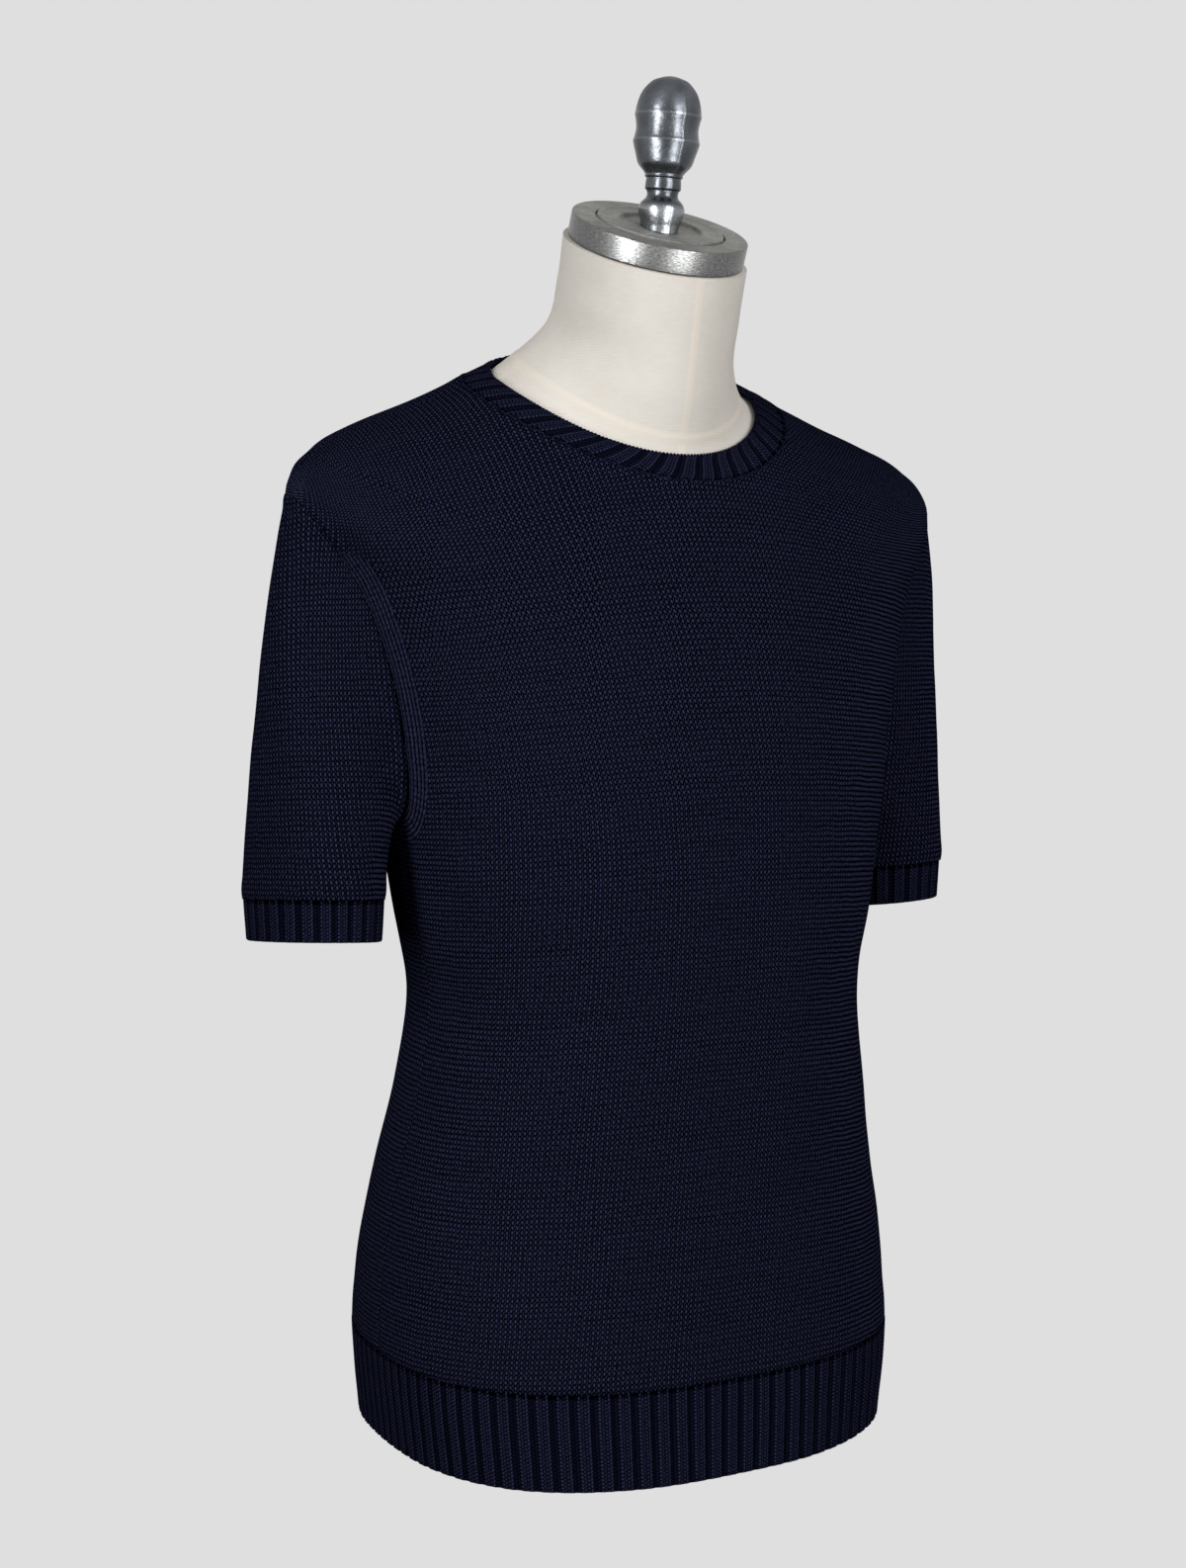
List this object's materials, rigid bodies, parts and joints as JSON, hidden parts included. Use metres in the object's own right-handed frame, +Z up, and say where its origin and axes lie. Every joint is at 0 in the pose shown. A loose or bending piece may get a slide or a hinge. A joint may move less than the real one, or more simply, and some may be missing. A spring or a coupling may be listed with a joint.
{
  "type": "short-sleeve knitted sweater on a dress form",
  "caption": "Short-sleeve crew-neck sweater in heavy knit with ribbed neck, cuffs and hem, standing on a limbless tailor's dress form with a metal neck cap and turned finial.",
  "frame": {"origin": "middle of the part's box on the ground, on the dress form's flat underside", "axes": "+Z up, the chest faces -Y, the wearer's right arm is at -X"},
  "size_m": [0.4974, 0.2828, 0.8649],
  "materials": {
    "knit": "heavy cotton plain knit, dark navy, matt",
    "rib": "two-by-two cotton rib, dark navy, matt",
    "canvas": "off-white cotton cover, stretched smooth",
    "cast_aluminium": "sand-cast top, brushed rim",
    "polished_aluminium": "cast and tumbled, satin"
  },
  "bodies": {
    "root": {"form_torso": "canvas", "neck_cap": "cast_aluminium", "finial": "polished_aluminium", "front": "knit", "back": "knit", "sleeve_right": "knit", "sleeve_left": "knit", "hem_rib_front": "rib", "hem_rib_back": "rib", "neckband": "rib", "cuff_right": "rib", "cuff_left": "rib"}
  },
  "joints": []
}
